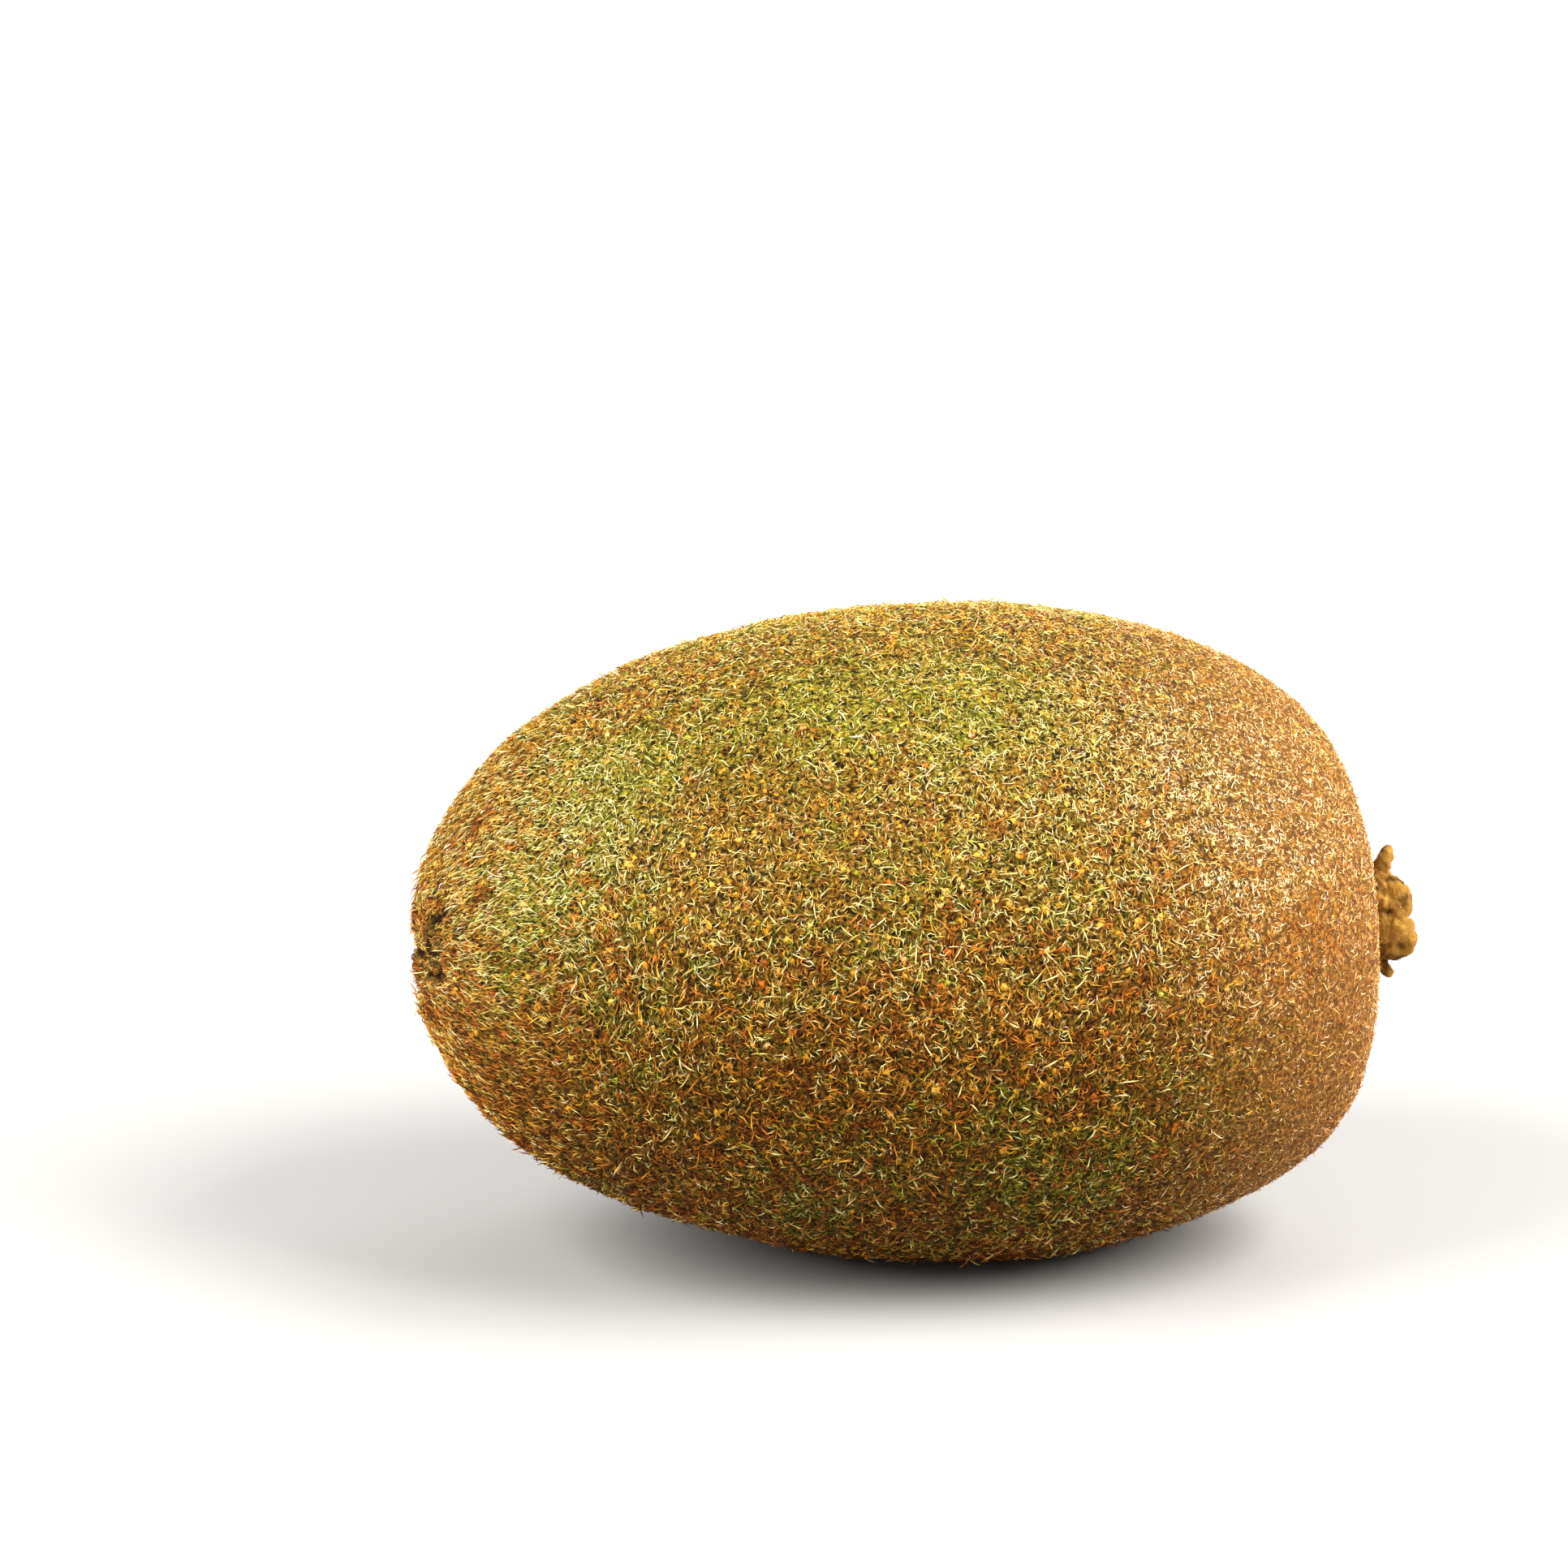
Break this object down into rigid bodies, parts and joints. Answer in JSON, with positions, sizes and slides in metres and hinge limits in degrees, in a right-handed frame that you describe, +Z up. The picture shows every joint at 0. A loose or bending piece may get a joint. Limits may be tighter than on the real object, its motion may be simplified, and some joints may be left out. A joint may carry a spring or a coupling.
{
  "type": "kiwi fruit",
  "caption": "Whole fuzzy kiwi fruit lying on its side, an egg-shaped body with a puckered style end and a dried calyx round the stalk scar.",
  "frame": {"origin": "on the resting surface, under the middle of the whole fruit's bounding box", "axes": "+X along the fruit's long axis, towards the stalk end with the calyx; +Z up, away from the resting flat"},
  "size_m": [0.0696, 0.0516, 0.0447],
  "materials": {
    "nap": "brown skin under dense golden-brown hairs",
    "sepal": "dry, felted, dark brown",
    "cork": "dry, matt, yellowish",
    "husk": "dry, matt, nearly black"
  },
  "bodies": {
    "root": {"fruit": "nap", "calyx": "sepal", "stalk_scar": "cork", "styles": "husk"}
  },
  "joints": []
}
